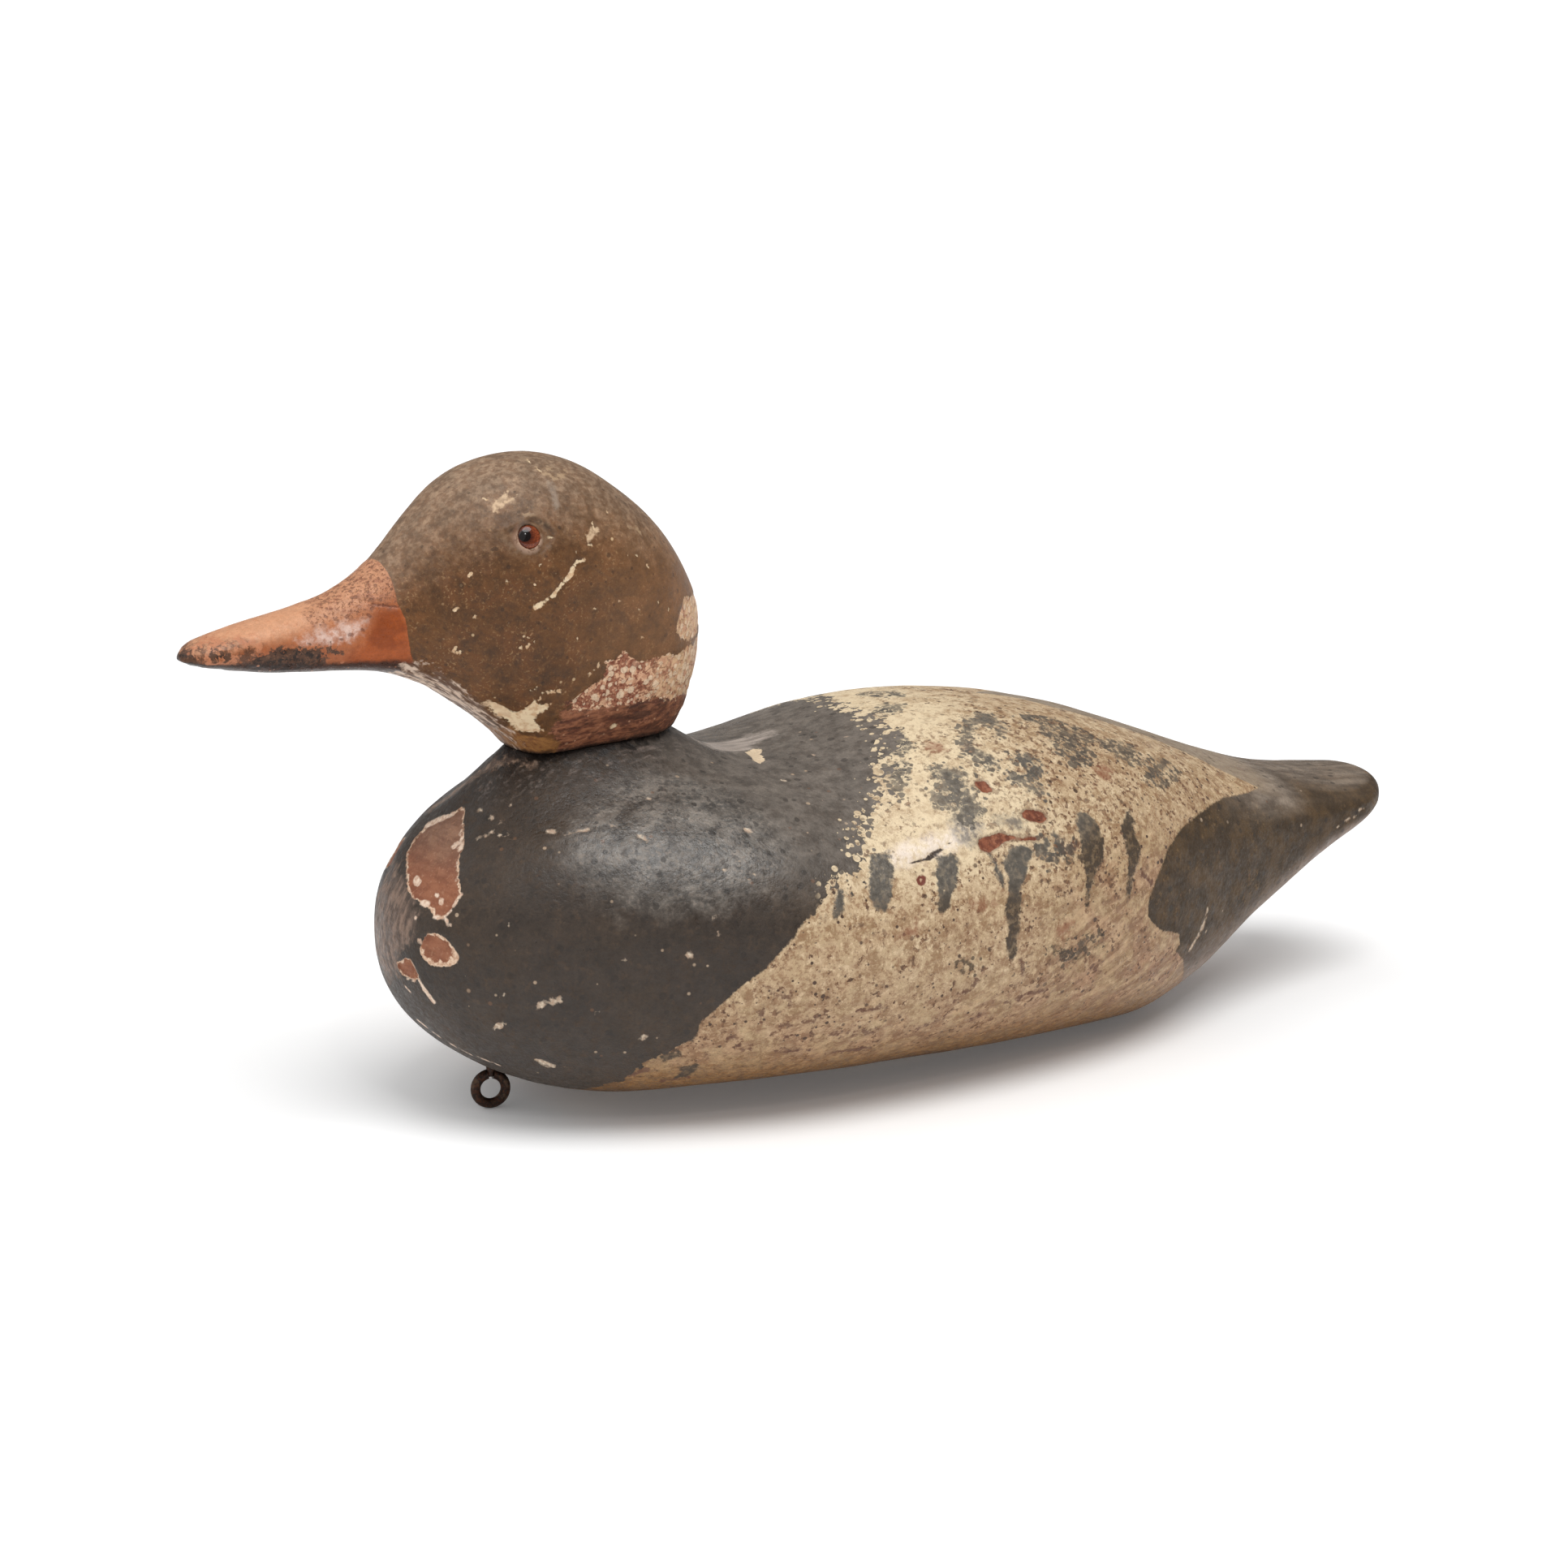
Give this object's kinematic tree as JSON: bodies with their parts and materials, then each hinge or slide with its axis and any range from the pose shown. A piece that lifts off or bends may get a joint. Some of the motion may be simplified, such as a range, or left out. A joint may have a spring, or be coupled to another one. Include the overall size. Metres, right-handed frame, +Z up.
{
  "type": "duck decoy",
  "caption": "Carved and painted wooden duck decoy with a raised head, long narrow bill, glass eyes and a line eye under the breast.",
  "frame": {"origin": "middle of the bounding box, on the floor that the line eye and the rear end of the flat underside rest on", "axes": "+Z up, the bird faces -X, its left side is -Y"},
  "size_m": [0.4264, 0.157, 0.1976],
  "materials": {
    "body_paint": "old oil paint, worn and chipped",
    "head_paint": "old oil paint, worn and chipped",
    "eye_glass": "polished glass",
    "eye_wire": "browned iron wire"
  },
  "bodies": {
    "root": {"body": "body_paint", "head": "head_paint", "eye_left": "eye_glass", "eye_right": "eye_glass", "line_eye": "eye_wire"}
  },
  "joints": []
}
